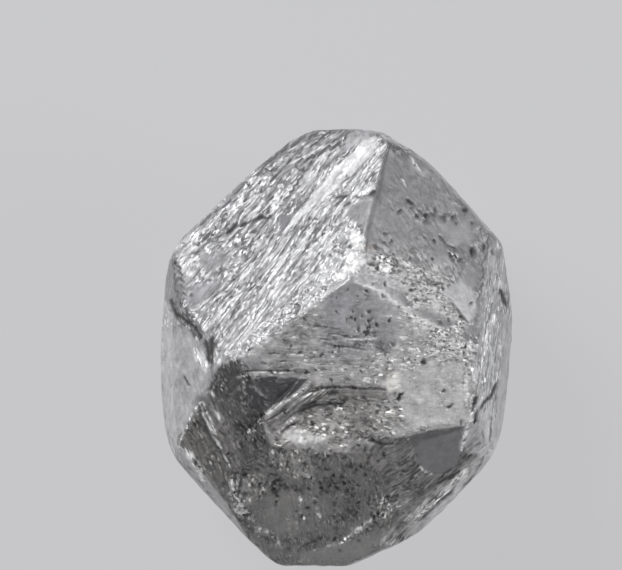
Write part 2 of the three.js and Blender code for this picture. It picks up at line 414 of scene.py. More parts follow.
        "outline": [(296, 554), (320, 548), (348, 541), (380, 528), (398, 532), (372, 552), (345, 563),
                    (300, 567)],
        "soft": 3, "body": "#817e7b", "cover": 0.7, "striped": 0.1, "rough": 0.4, "specked": 0.3},
    "combed ridge": {
        "outline": [(198, 402), (213, 396), (230, 420), (242, 468), (226, 470), (208, 434)],
        "soft": 5, "body": "#7b7877", "cover": 0.7, "striped": 1.4, "rough": 0.8, "grain": 117},
    "combed lower right": {
        "outline": [(396, 548), (424, 534), (472, 482), (468, 464), (440, 482), (404, 516), (374, 546)],
        "soft": 4, "body": "#c3c1c0", "cover": 0.75, "striped": 1.7, "rough": 0.6, "grain": 46},
    "pale lower right wall": {
        "outline": [(468, 412), (492, 396), (498, 440), (486, 458), (464, 452)],
        "soft": 3, "body": "#cacacc", "cover": 0.85, "striped": 0.4, "rough": 0.1},
    "pale outer band": {
        "outline": [(485, 456), (496, 452), (484, 471), (467, 488), (450, 506), (434, 521), (420, 533),
                    (404, 542), (408, 530), (425, 516), (445, 498), (464, 480)],
        "soft": 2, "body": "#bcbcbe", "cover": 0.8, "striped": 0.4, "rough": 0.1},
    "pale right wall": {
        "outline": [(500, 310), (514, 320), (510, 372), (505, 410), (500, 440), (493, 440), (498, 400),
                    (500, 350)],
        "soft": 3, "body": "#adadaf", "cover": 0.8, "striped": 0.3, "rough": 0.1},
    "crushed streak at the right": {
        "outline": [(474, 368), (483, 366), (486, 384), (478, 390), (472, 380)],
        "soft": 2, "body": "#dcdcdd", "cover": 0.6, "rough": 1.2},
}

# Dark cracks, and raised ledges whose brightness is a painted glint, of the photographed side: how wide each
# is, and the points of the photograph that it passes through, all in pixels.
CRACKS = {
    "long crack, left end": (2.2, [(184, 257), (196, 252), (206, 243), (221, 235), (229, 231)]),
    "long crack, middle": (6.0, [(228, 232), (236, 225)]),
    "long crack, second blob": (5.0, [(241, 226), (246, 222)]),
    "long crack, right end": (3.0, [(248, 222), (260, 217), (270, 217), (280, 212)]),
    "long crack, third blob": (5.0, [(258, 219), (262, 216)]),
    "second crack": (2.2, [(223, 290), (232, 281), (244, 269), (252, 261), (261, 248)]),
    "crown line": (2.2, [(282, 156), (290, 153), (318, 146), (335, 141), (347, 133)]),
    "line under the crown": (2.5, [(298, 171), (308, 166), (316, 154), (322, 150)]),
    "streak above the long crack": (2.4, [(262, 206), (268, 197), (277, 186)]),
    "streak in the crown": (3.0, [(270, 182), (280, 171), (290, 160)]),
    "notch beside the band": (4.0, [(334, 198), (346, 196)]),
    "notch at the rim": (6.0, [(357, 197), (366, 194), (374, 192)]),
    "notch below the band": (4.0, [(344, 207), (350, 203)]),
    "split in the great lobe": (2.4, [(334, 250), (342, 253), (344, 262), (336, 272)]),
    "spot on the left wall": (5.0, [(174, 264), (176, 262)]),
    "left vein, head": (4.5, [(171, 300), (176, 312), (180, 317)]),
    "left vein, middle": (5.0, [(180, 315), (186, 320), (192, 325)]),
    "left vein, tail": (4.0, [(192, 325), (199, 331), (202, 339)]),
    "left wedge": (7.0, [(213, 337), (212, 346), (211, 354)]),
    "left wedge, point": (4.0, [(213, 350), (212, 360), (210, 367)]),
    "left wedge, other side": (4.5, [(206, 340), (208, 350), (209, 362)]),
    "streak on the left face": (3.0, [(184, 375), (187, 381), (190, 386)]),
    "dark edge of the left face": (3.0, [(222, 363), (218, 374), (212, 386), (206, 392)]),
    "dark foot of the left face": (5.0, [(199, 406), (203, 420), (210, 434), (218, 448)]),
    "line above the window": (3.2, [(246, 371), (256, 370), (268, 371), (283, 371)]),
    "line above the window, right": (3.6, [(284, 371), (300, 371), (310, 372)]),
    "spot in the window": (4.0, [(264, 387), (266, 391)]),
    "dash left of the centre": (3.4, [(276, 361), (281, 361), (287, 361)]),
    "dash above it": (2.6, [(269, 353), (280, 354)]),
    "first centre line": (2.4, [(313, 327), (322, 327), (340, 329)]),
    "second centre line": (2.4, [(318, 333), (338, 335), (359, 339)]),
    "third centre line": (2.4, [(328, 345), (347, 347), (366, 350)]),
    "dark centre line": (3.0, [(313, 388), (334, 387), (353, 388), (372, 388), (386, 390)]),
    "centre oval": (5.0, [(329, 393), (337, 393)]),
    "arc over the bowl": (4.5, [(296, 412), (306, 408), (320, 404), (341, 404)]),
    "shell line, first": (3.4, [(268, 420), (283, 410), (297, 402), (310, 392), (318, 390)]),
    "shell line, second": (3.4, [(283, 422), (296, 412), (303, 406), (320, 399), (336, 399)]),
    "shell line, third": (3.4, [(281, 432), (290, 426), (300, 420)]),
    "notch right of the bowl": (4.0, [(402, 393), (399, 396), (399, 400)]),
    "nick at the dark block": (4.5, [(371, 440), (376, 441), (381, 444)]),
    "curve over the dark slope": (2.6, [(359, 436), (373, 441), (381, 444), (392, 442)]),
    "vein of the right field": (2.0, [(448, 298), (459, 312), (468, 323)]),
    "brow line": (2.4, [(431, 284), (441, 284)]),
    "black spot on the brow": (6.0, [(421, 361), (425, 362)]),
    "dash of the right field": (2.6, [(446, 407), (453, 404)]),
    "dash under the peak": (4.0, [(406, 200), (412, 204)]),
    "curve in the upper right": (2.6, [(439, 236), (445, 244), (455, 249)]),
    "upright dash": (4.0, [(471, 248), (472, 254)]),
    "line at the right corner": (2.6, [(490, 250), (497, 258)]),
    "right oval": (5.0, [(500, 290), (503, 298), (506, 306)]),
    "right notch": (5.5, [(476, 396), (474, 404)]),
    "right notch, point": (3.0, [(474, 403), (472, 411)]),
    "right diagonal": (4.0, [(495, 384), (491, 396), (483, 403), (477, 413), (474, 423)]),
    "right groove": (2.6, [(493, 404), (491, 422), (490, 441)]),
    "edge of the right face": (2.6, [(463, 349), (466, 368), (470, 376)]),
    "groove of the lower right": (3.4, [(420, 521), (434, 507), (449, 494), (456, 486)]),
    "dark wedge of the lower right": (5.0, [(438, 483), (448, 478), (460, 471)]),
    "outer groove": (2.8, [(460, 490), (474, 475), (480, 464), (484, 456)]),
    "curve of the bottom": (3.2, [(304, 545), (313, 541), (322, 538)]),
    "top of the bottom's rim": (4.0, [(233, 473), (240, 474), (248, 473)]),
    "dark left of the bottom's rim": (4.0, [(229, 482), (231, 496), (236, 510), (243, 520)]),
}

# Each ledge is raised relief with a painted glint along it: a near-white tint in the body colour.
LEDGES_AND_GLINTS = {
    "flare of the band": (3.0, [(381, 139), (379, 148), (374, 152)]),
    "line in the band": (2.4, [(362, 150), (350, 164), (338, 178)]),
    "lower line of the band": (2.4, [(372, 165), (358, 177), (344, 190), (332, 199)]),
    "light triangle": (4.0, [(375, 186), (366, 192), (358, 196)]),
    "line below the band": (2.6, [(330, 204), (318, 217), (306, 232), (297, 245)]),
    "second line below the band": (2.6, [(342, 208), (331, 222), (322, 238)]),
    "edge line of the band": (2.4, [(281, 236), (272, 250), (262, 266)]),
    "streak beside it": (2.6, [(300, 232), (288, 250), (276, 268), (262, 288)]),
    "long streak": (2.6, [(292, 262), (280, 280), (268, 298)]),
    "streak of the upper edge": (4.0, [(256, 172), (250, 180), (244, 190)]),
    "second streak of the edge": (4.0, [(243, 194), (238, 202), (232, 212)]),
    "bright brow line": (3.4, [(199, 230), (190, 238), (180, 247)]),
    "flecks on the left slope": (3.0, [(211, 221), (207, 229)]),
    "line over the left vein": (3.4, [(187, 307), (194, 313), (200, 318)]),
    "left flecks": (4.0, [(196, 350), (200, 358), (203, 366)]),
    "left flecks, second": (3.4, [(206, 362), (209, 367)]),
    "line right of the wedge": (3.0, [(220, 342), (217, 353), (215, 362)]),
    "fleck at the corner": (4.0, [(217, 362), (222, 358)]),
    "foot of the rim": (4.0, [(226, 354), (230, 358), (238, 354)]),
    "ridge line": (3.4, [(200, 403), (205, 418), (213, 434), (221, 448)]),
    "second ridge line": (2.6, [(204, 403), (209, 418), (217, 434)]),
    "third ridge line": (3.0, [(212, 402), (218, 415), (223, 423)]),
    "ridge fleck": (3.0, [(211, 390), (214, 397)]),
    "lower ridge line": (3.0, [(224, 454), (230, 468)]),
    "light edge of the left face": (2.4, [(199, 404), (192, 414), (187, 426), (182, 438), (179, 444)]),
    "outer left streak": (5.0, [(180, 446), (188, 455), (197, 468), (203, 480)]),
    "second outer left streak": (3.0, [(190, 450), (196, 458), (203, 471)]),
    "line under the ledge": (2.6, [(230, 378), (242, 376), (255, 374), (267, 372)]),
    "line under the ledge, right": (2.6, [(270, 376), (276, 373), (291, 374)]),
    "upright line in the window": (2.2, [(244, 381), (245, 393)]),
    "first shell edge": (3.0, [(264, 417), (271, 410), (287, 401), (296, 395), (310, 382)]),
    "second shell edge": (2.8, [(277, 418), (287, 410), (298, 400), (312, 393)]),
    "third shell edge": (2.8, [(284, 424), (292, 417), (302, 409)]),
    "top of the smooth chip": (2.6, [(292, 429), (297, 429), (302, 432)]),
    "bright end of the second line": (2.6, [(359, 340), (367, 340), (376, 338)]),
    "line beside it": (2.2, [(343, 338), (360, 340)]),
    "upper bright line": (2.4, [(398, 307), (410, 307)]),
    "upper bright line, right": (2.8, [(413, 306), (421, 305), (428, 303)]),
    "short bright line": (2.4, [(382, 317), (391, 316)]),
    "bright curve of the centre": (3.6, [(359, 370), (367, 367), (374, 369), (381, 372)]),
    "bright spot of the centre": (5.0, [(376, 360), (381, 360)]),
    "bright spot, second": (5.0, [(387, 360), (393, 360)]),
    "bright spot, third": (4.0, [(332, 369), (335, 369)]),
    "bright spot, fourth": (4.0, [(340, 369), (344, 368)]),
    "bright spot, fifth": (4.0, [(363, 379), (370, 379)]),
    "dashes toward the right": (3.0, [(390, 346), (396, 348), (402, 350)]),
    "dashes toward the right, end": (3.0, [(407, 350), (415, 350)]),
    "bright crumb line": (4.0, [(432, 344), (440, 343), (450, 340)]),
    "bright crumb line, lower": (3.4, [(435, 345), (448, 343)]),
    "bright sweep": (3.0, [(447, 331), (454, 327), (461, 322)]),
    "bright arc": (2.6, [(428, 357), (434, 353), (440, 351)]),
    "warm arc": (2.4, [(432, 366), (440, 361), (448, 358)]),
    "bright diagonal under the junction": (5.0, [(380, 274), (386, 270), (392, 266)]),
    "bright ring": (3.6, [(376, 260), (380, 258), (382, 263), (378, 268)]),
    "bright ring, right": (3.6, [(399, 264), (404, 262), (408, 266)]),
    "bright dash": (2.8, [(400, 179), (404, 184), (408, 190)]),
    "light ridge": (2.4, [(409, 156), (416, 166), (424, 177)]),
    "light line in the drift": (2.6, [(474, 229), (480, 228)]),
    "light edge of the window": (2.6, [(449, 252), (455, 259), (459, 252)]),
    "spark at the right corner": (3.6, [(497, 244), (499, 249)]),
    "line of the right shoulder": (2.6, [(500, 280), (494, 293), (488, 306)]),
    "right spark, upper": (4.0, [(488, 305), (489, 311)]),
    "right spark, middle": (4.0, [(494, 314), (491, 326)]),
    "right streak": (6.0, [(488, 331), (487, 341), (486, 350)]),
    "right streak, tail": (4.4, [(485, 352), (482, 360), (479, 370)]),
    "outer right streak": (2.6, [(500, 339), (501, 350), (500, 360)]),
    "outer right streak, lower": (2.6, [(498, 372), (497, 382)]),
    "edge blob": (9.0, [(467, 348), (471, 343)]),
    "edge streak": (7.0, [(466, 356), (468, 364), (471, 372)]),
    "edge line": (2.8, [(464, 376), (465, 390), (466, 406)]),
    "line above the right notch": (2.6, [(484, 396), (478, 404)]),
    "line beside the right diagonal": (2.6, [(489, 405), (483, 411), (478, 418)]),
    "lower edge band": (4.6, [(472, 412), (467, 426), (463, 439), (461, 450)]),
    "top crumbs of the dark block": (3.6, [(408, 434), (412, 430), (420, 427), (426, 426)]),
    "foot of the dark block": (2.8, [(419, 466), (424, 471), (433, 474)]),
    "blob over the dark slope": (5.0, [(380, 421), (394, 423)]),
    "line under the blob": (2.6, [(377, 431), (395, 431)]),
    "great streak of the lower right": (4.6, [(434, 504), (439, 498), (448, 489), (458, 478), (465, 470)]),
    "great streak, tail": (3.4, [(416, 518), (425, 511), (433, 504)]),
    "inner streak of the lower right": (2.6, [(379, 519), (389, 512), (398, 506), (412, 498)]),
    "second inner streak": (2.4, [(392, 531), (397, 527), (406, 518), (416, 511)]),
    "lower spark": (3.6, [(377, 504), (384, 499), (390, 506)]),
    "dash of the bottom": (2.6, [(351, 516), (362, 517)]),
    "great rim of the bottom": (7.0, [(232, 477), (233, 488), (236, 502), (241, 516)]),
    "foot of the great rim": (5.5, [(236, 495), (239, 505), (243, 515)]),
    "right rim of the bottom": (3.6, [(344, 540), (357, 529), (372, 519), (387, 508), (397, 502)]),
    "second rim of the bottom": (2.6, [(236, 480), (239, 495), (247, 512), (254, 522)]),
    "foot of the rim, left": (3.6, [(258, 529), (264, 530), (272, 536)]),
    "foot of the rim, right": (2.8, [(275, 541), (283, 546), (291, 550)]),
    "fleck of the bottom": (3.0, [(299, 496), (301, 505)]),
    "fleck of the bottom, lower": (3.4, [(299, 512), (303, 518)]),
    "second fleck of the bottom": (2.8, [(315, 497), (317, 508), (319, 519)]),
    "third fleck of the bottom": (3.0, [(305, 473), (312, 477)]),
    "lowest boundary": (2.8, [(326, 546), (341, 542), (350, 539)]),
    "lowest crumbs": (3.6, [(354, 531), (360, 528), (369, 529)]),
}

# Black specks: the middle of each and its size, in pixels of the photograph.
SPECKS = {
    "centre": [
        (369, 327, 6), (366, 333, 7), (362, 316, 4), (370, 320, 4), (346, 335, 4), (284, 340, 4),
        (300, 352, 4.4), (373, 284, 4), (385, 284, 3.6), (347, 290, 4), (366, 291, 4.4), (357, 296, 4),
        (365, 295, 3.4), (383, 296, 5), (412, 284, 4), (411, 290, 3.6), (417, 299, 3.4), (337, 312, 4),
        (353, 312, 3.6), (369, 312, 3.4), (354, 320, 4.4), (389, 320, 5), (358, 329, 4.6), (376, 325, 4.4),
        (291, 346, 4.4), (312, 357, 5), (304, 318, 3.4), (354, 388, 4.6), (342, 403, 5), (368, 404, 4.6),
        (377, 411, 4), (395, 407, 4.4), (400, 396, 4.6), (374, 428, 4.4), (316, 369, 3.4)],
    "centre right": [(449, 407, 3.6), (456, 354, 3.4), (409, 259, 4.4), (394, 254, 3.6), (432, 259, 3.6)],
    "upper right": [
        (431, 214, 4), (441, 217, 4), (426, 219, 4), (409, 202, 4), (465, 211, 6), (375, 248, 5),
        (399, 211, 3.6), (411, 208, 3.6), (420, 212, 4.6), (425, 216, 4.6), (434, 215, 4.4),
        (435, 210, 3.6), (444, 218, 4), (453, 218, 4), (456, 223, 4), (424, 222, 4), (465, 211, 4.6),
        (472, 223, 3.6), (482, 229, 3.6), (384, 243, 3.6), (391, 241, 3.4), (377, 247, 4), (433, 241, 3.4),
        (484, 247, 3.6)],
    "bottom": [
        (327, 491, 5), (342, 475, 4), (358, 502, 4), (368, 503, 4), (374, 500, 4), (387, 482, 5),
        (273, 489, 4), (266, 483, 4), (287, 472, 4), (304, 463, 3.6), (347, 502, 4), (378, 483, 3.6),
        (276, 491, 4), (358, 444, 5), (277, 480, 6.4), (286, 487, 4.4), (277, 496, 4), (276, 502, 3.6),
        (260, 484, 4), (308, 508, 4.4), (335, 503, 4.6), (349, 510, 6.2), (333, 474, 4.4), (365, 474, 4.6),
        (322, 488, 5), (337, 487, 5), (348, 490, 4), (334, 539, 4.4), (327, 539, 4), (371, 514, 3.6),
        (337, 521, 3.6), (352, 495, 4)],
    "foot of the centre": [
        (352, 448, 4.6), (364, 449, 4.6), (371, 449, 5), (369, 456, 5), (367, 462, 4.4), (389, 481, 4.2),
        (406, 487, 4), (416, 487, 3.8), (342, 476, 4.2), (369, 499, 3.8), (391, 508, 3.6)],
}

# Edges that are worn round, so the facets beside them flow together: how wide, how sharp an edge is left
# there, and the points of the photograph that they pass through.
WORN = {
    "beside the bay": (40, 80, [(378, 180), (370, 212), (364, 240)]),
    "right brow": (44, 24, [(368, 268), (400, 286), (440, 308), (476, 334)]),
    "right of the centre": (70, 22, [(370, 312), (374, 340), (378, 380), (386, 430)]),
    "left ridge": (16, 24, [(199, 402), (222, 448), (232, 470)]),
    "foot of the centre": (30, 60, [(268, 452), (330, 456), (380, 456)]),
    "foot of the dark block": (60, 16, [(384, 452), (396, 490), (402, 540)]),
    "head of the dark block": (16, 50, [(350, 446), (380, 444), (410, 437), (438, 430)]),
}


def compass(bearing, tilt):
    """The direction that a facet looks, from its bearing and its tilt from level in degrees."""
    around = math.radians(bearing)
    down = math.radians(tilt)
    return np.array([math.sin(down) * math.cos(around), math.sin(down) * math.sin(around), math.cos(down)])


def from_photo(x, y):
    """A point of the photograph, in millimetres across and along the stone."""
    return np.array([(x - STONE_MIDDLE_PX[0]) * MM_PER_PX, (STONE_MIDDLE_PX[1] - y) * MM_PER_PX])


def linear(colour):
    """An sRGB hex colour as linear red, green and blue."""
    parts = [int(colour[k:k + 2], 16) / 255 for k in (1, 3, 5)]
    return [p / 12.92 if p <= 0.04045 else ((p + 0.055) / 1.055) ** 2.4 for p in parts]


def unit(vectors):
    """The vectors at a length of 1."""
    return vectors / np.linalg.norm(vectors, axis=1)[:, None]


def smooth_ramp(value, low, high):
    """0 below low, 1 above high, and a smooth rise between."""
    share = np.clip((value - low) / (high - low), 0.0, 1.0)
    return share * share * (3.0 - 2.0 * share)


def hump(value, reach):
    """1 where the value is 0, falling smoothly to nearly 0 at twice the reach."""
    return np.exp(-((value / reach) ** 2))


class Noise:
    """Smooth seeded noise. Its features have the size that is asked for, and a shift gives another part."""

    # How many cells the grid has before it repeats, and the gain that brings the noise to about -1 to 1.
    SLOTS = 256
    GAIN = 1.5

    def __init__(self, name):
        draw = np.random.default_rng(SEEDS[name])
        self.order = np.concatenate([draw.permutation(self.SLOTS)] * 2)
        self.slopes = unit(draw.normal(size=(self.SLOTS, 3)))
        self.spots = draw.uniform(size=(self.SLOTS, 3))

    def pick(self, cell):
        """The slot that belongs to each cell of the grid."""
        slot = 0
        for side in (cell & (self.SLOTS - 1)).T:
            slot = self.order[slot + side]
        return slot

    def __call__(self, points, size=1.0, shift=0.0):
        points = points / size + shift
        cell = np.floor(points).astype(int)
        inside = points - cell
        fade = inside ** 3 * (inside * (inside * 6 - 15) + 10)
        total = np.zeros(len(points))
        for corner in np.ndindex(2, 2, 2):
            slope = ((inside - corner) * self.slopes[self.pick(cell + corner)]).sum(axis=1)
            total += slope * np.prod(np.where(corner, fade, 1 - fade), axis=1)
        return total * self.GAIN

    def at_shifts(self, points, size, shifts):
        """The noise at each of these shifts, side by side, to sway points in as many directions."""
        return np.stack([self(points, size, shift) for shift in shifts], axis=1)

    def flakes(self, points, size):
        """Splits space into flakes. Gives the tilted height within each flake, how far each point is inside
        its flake's border, and a random share from 0 to 1 for each flake."""
        points = points / size
        home = np.floor(points).astype(int)
        nearest = np.full(len(points), np.inf)
        second = nearest.copy()
        offset = np.zeros_like(points)
        flake = np.zeros(len(points), int)
        for step in np.ndindex(3, 3, 3):
            cell = home + np.array(step) - 1
            pick = self.pick(cell)
            away = points - cell - self.spots[pick]
            gap = np.linalg.norm(away, axis=1)
            closer = gap < nearest
            second = np.where(closer, nearest, np.minimum(second, gap))
            nearest[closer] = gap[closer]
            offset[closer] = away[closer]
            flake[closer] = pick[closer]
        return (offset * self.slopes[flake]).sum(axis=1), second - nearest, self.spots[flake, 0]


def facet_planes(node):
    """The normals of a CAD node's outer facets, and their distances from the heart."""
    corners = np.array([v.co for v in node.data.vertices]) / MM
    triangles = np.array([p.vertices[:3] for p in node.data.polygons])
    a, b, c = (corners[triangles[:, k]] for k in range(3))
    cross = np.cross(b - a, c - a)
    area = np.linalg.norm(cross, axis=1) / 2
    planes = []
    for k in np.argsort(-area):
        if area[k] < LEAST_TRIANGLE:
            continue
        normal = cross[k] / (2 * area[k])
        distance = normal @ (a[k] - HEART)
        for plane in planes:
            level = abs(distance - plane["distance"]) < SAME_PLANE
            if level and normal @ plane["normal"] > SAME_NORMAL:
                plane["area"] += area[k]
                break
        else:
            planes.append({"normal": normal, "distance": distance, "area": area[k]})
    outer = [
        plane for plane in planes if plane["area"] > LEAST_FACET
        and ((corners - HEART) @ plane["normal"]).max() < plane["distance"] + SAME_PLANE]
    return np.array([plane["normal"] for plane in outer]), np.array([plane["distance"] for plane in outer])


def finish_for(normal, index):
    """The finish of the facet with this normal: its own at the front, and one of the hidden ones behind."""
    for finish in FRONT_FINISHES.values():
        if normal @ compass(*finish["looks"]) > SAME_LOOK:
            return finish
    return HIDDEN_FINISHES[index % len(HIDDEN_FINISHES)]


def grain_axes(normal, grain):
    """Across and along the striations of a facet, which run at the angle grain as seen from above, or from
    level on a facet that is nearly upright."""
    around = math.radians(grain)
    if abs(normal[2]) > UPRIGHT:
        run = np.array([math.cos(around), math.sin(around), 0.0])
        run[2] = -(normal @ run) / normal[2]
    else:
        level = np.cross([0, 0, 1.0], normal)
        run = level * math.cos(around) + np.cross(normal, level) * math.sin(around)
    run /= np.linalg.norm(run)
    return np.cross(normal, run), run


def stroke_distance(flat, line):
    """How far each point is from a line through points of the photograph, and how far along it, 0 to 1."""
    corners = np.array([from_photo(*point) for point in line])
    nearest = np.full(len(flat), np.inf)
    along = np.zeros(len(flat))
    lengths = np.linalg.norm(np.diff(corners, axis=0), axis=1)
    done = np.concatenate([[0], np.cumsum(lengths)]) / lengths.sum()
    for k in range(len(corners) - 1):
        side = corners[k + 1] - corners[k]
        share = np.clip(((flat - corners[k]) @ side) / (side @ side), 0, 1)
        gap = np.linalg.norm(flat - corners[k] - share[:, None] * side, axis=1)
        closer = gap < nearest
        nearest[closer] = gap[closer]
        along[closer] = (done[k] + share * (done[k + 1] - done[k]))[closer]
    return nearest, along


def near_line(flat, line, reach):
    """Which points are in the box round a line of the photograph that reaches past it in millimetres."""
    corners = np.array([from_photo(*point) for point in line])
    low, high = corners.min(axis=0) - reach, corners.max(axis=0) + reach
    return np.nonzero(((flat > low) & (flat < high)).all(axis=1))[0]


def inside_outline(flat, outline):
    """How far each point is inside a closed outline of the photograph: below 0 is outside."""
    gap, _ = stroke_distance(flat, outline + outline[:1])
    corners = [from_photo(*point) for point in outline]
    within = np.zeros(len(flat), bool)
    for (x1, y1), (x2, y2) in zip(corners, corners[1:] + corners[:1]):
        if y1 != y2:
            crosses = (y1 > flat[:, 1]) != (y2 > flat[:, 1])
            within ^= crosses & (flat[:, 0] < (x2 - x1) * (flat[:, 1] - y1) / (y2 - y1) + x1)
    return np.where(within, gap, -gap)


def marked(flat, margin):
    """Whether each point is on a crack, a speck or a ledge with its painted glint, or within a margin in
    pixels of one.
    """
    near = np.zeros(len(flat), bool)
    for width, line in [*CRACKS.values(), *LEDGES_AND_GLINTS.values()]:
        reach = (0.5 * width + margin) * MM_PER_PX
        close = near_line(flat, line, reach)
        near[close] |= stroke_distance(flat[close], line)[0] < reach
    for x, y, size in sum(SPECKS.values(), []):
        near |= np.linalg.norm(flat - from_photo(x, y), axis=1) < (0.5 * size + margin) * MM_PER_PX
    return near


def facet_nearness(rays, normals, distances):
    """How near each facet's plane is along each ray: 1 over the distance, and next to nothing behind it."""
    return np.maximum(rays @ normals.T, 1e-6) / distances


def ball_rays(ball):
    """The directions of a ball's vertices, seen from its middle."""
    return unit(np.array([v.co for v in ball.verts]))


def fine_ball(normals, distances):
    """A ball of triangles, fine where it becomes the photographed side and finest along its marks."""
    ball = bmesh.new()
    bmesh.ops.create_icosphere(ball, subdivisions=BALL_SUBDIVISIONS, radius=1)
    for height, margin in BALL_STEPS:
        rays = ball_rays(ball)
        chosen = rays[:, 2] > height
        if margin:
            above = np.nonzero(rays[:, 2] > 0)[0]
            nearness = facet_nearness(rays[above], normals, distances).max(axis=1)
            chosen[above] |= marked(rays[above, :2] / nearness[:, None], margin)
        ball.verts.index_update()
        edges = [e for e in ball.edges if chosen[e.verts[0].index] and chosen[e.verts[1].index]]
        bmesh.ops.subdivide_edges(ball, edges=edges, cuts=1, use_grid_fill=True)
        bmesh.ops.triangulate(ball, faces=ball.faces)
    return ball


def edge_sharpness(rays, flat):
    """How sharply the facets meet along each ray, where they are fresh and where they are worn."""
    sharpness = np.full(len(rays), FRESH_EDGE)
    wear = [
        (hump(stroke_distance(flat, line)[0] / (width * MM_PER_PX), 0.5) * (rays[:, 2] > 0), edge)
        for width, edge, line in WORN.values()]
    wear.append((hump(rays[:, 2], GIRDLE_REACH), GIRDLE_EDGE))
    for worn, edge in wear:
        sharpness = np.minimum(sharpness, FRESH_EDGE ** (1 - worn) * edge ** worn)
    return sharpness


def rippled(nearness, rays, fresh):
    """How near each facet's plane is along each ray, once the planes are rippled where two of them meet."""
    nearest = nearness.max(axis=1)
    places = rays / nearest[:, None]
    meeting = fresh * hump(1 - np.sort(nearness, axis=1)[:, -2] / nearest, RIPPLE_REACH)
    ripple = Noise("ripple")
    result = nearness.copy()
    for k in range(nearness.shape[1]):
        close = nearness[:, k] > (1 - 2 * RIPPLE_REACH) * nearest
        long_wave = ripple(places[close], LONG_RIPPLE, 9.1 * k)
        short_wave = ripple(places[close], SHORT_RIPPLE, 5.7 * k)
        result[close, k] *= 1 + EDGE_RIPPLE * (long_wave + 0.7 * short_wave) * meeting[close]
    return result


class Surface:
    """The stone's surface as it is worked: points, normals, and the finish at each point."""

    # The parts of the finish that are one number each.
    FINISH = ("striped", "rough", "specked", "matt")

    def __init__(self, rays, normals, distances, broken):
        nearness = facet_nearness(rays, normals, distances)
        sharpness = edge_sharpness(rays, rays[:, :2] / nearness.max(axis=1)[:, None])
        self.fresh = sharpness / FRESH_EDGE
        nearness = rippled(nearness, rays, self.fresh)
        nearest = nearness.max(axis=1)
        share = nearness / nearest[:, None]
        rounding = share ** sharpness[:, None]
        rounded = nearest * rounding.sum(axis=1) ** (1 / sharpness)
        self.points = HEART + rays * (1 / rounded - broken)[:, None]
        self.normals = unit((rounding / nearness) @ (normals / distances[:, None]))
        self.height = np.zeros(len(rays))
        self.flat = self.points[:, :2] + SWAY_REACH * Noise("sway").at_shifts(self.points, SWAY_SIZE, (0, 40))

        # front is 1 on the photographed side and 0 behind. edge is how far a point is inside its facet, and
        # seam goes from 0 at the facet's border to 1 inside.
        self.front = smooth_ramp(self.points[:, 2], *FRONT_HEIGHTS)
        self.front *= smooth_ramp(self.normals[:, 2], *FRONT_NORMALS)
        self.edge = 1 - np.sort(share, axis=1)[:, -2]
        border = HIDDEN_SEAM - SEAM_NARROWING * self.front
        self.seam = smooth_ramp(self.edge, 0.4 * border, border)

        finishes = [finish_for(normal, k) for k, normal in enumerate(normals)]
        weights = share ** FINISH_EDGE
        weights /= weights.sum(axis=1)[:, None]
        self.body = weights @ np.array([linear(finish["body"]) for finish in finishes])
        self.finish = {
            name: weights @ np.array([finish[name] for finish in finishes]) for name in self.FINISH}
        facet = nearness.argmax(axis=1)
        self.grain = np.zeros_like(self.points)
        for k, (normal, finish) in enumerate(zip(normals, finishes)):
            mine = facet == k
            axes = np.array([*grain_axes(normal, finish["grain"]), normal])
            self.grain[mine] = self.points[mine] @ axes.T + 7.0 * k

    def turn_grain(self, here, grain):
        """Turns the striations of some points to run at the angle grain, as seen from above."""
        around = math.radians(grain)
        x, y, z = self.points[here].T
        across = y * math.cos(around) - x * math.sin(around)
        along = x * math.cos(around) + y * math.sin(around)
        self.grain[here] = np.stack([across, along, z], axis=1)

    def tint(self, here, amount, colour):
        """Moves the body colour of some points towards another by an amount for each."""
        self.body[here] += np.clip(amount, 0, 1)[:, None] * (np.array(linear(colour)) - self.body[here])

    def finish_as(self, name, here, amount, value):
        """Moves one part of the finish of some points towards a value by an amount for each."""
        self.finish[name][here] += amount * (value - self.finish[name][here])


def finish_patches(surface):
    """Gives each patch of the photographed side its own finish."""
    shells = Noise("shells")
    for patch in PATCHES.values():
        border = patch["soft"] * MM_PER_PX
        here = near_line(surface.flat, patch["outline"], max(border, 3 * MM_PER_PX))
        inside = inside_outline(surface.flat[here], patch["outline"])
        front = surface.front[here]
        amount = smooth_ramp(inside, -border / 2, border / 2) * front
        if "body" in patch:
            surface.tint(here, amount * patch["cover"], patch["body"])
        for name in surface.finish.keys() & patch.keys():
            surface.finish_as(name, here, amount, patch[name])
        if "grain" in patch:
            turned = here[amount > 0.5]
            surface.turn_grain(turned, patch["grain"])
            surface.seam[turned] = 1
            surface.seam[here] *= 1 - front * (1 - smooth_ramp(np.abs(inside), 0, 2 * MM_PER_PX))
        if "lobes" in patch:
            slope, rim, _ = shells.flakes(surface.points[here], SHELL_SIZE)
            surface.height[here] += patch["lobes"] * amount * (1.4 * slope - hump(rim, 0.1))


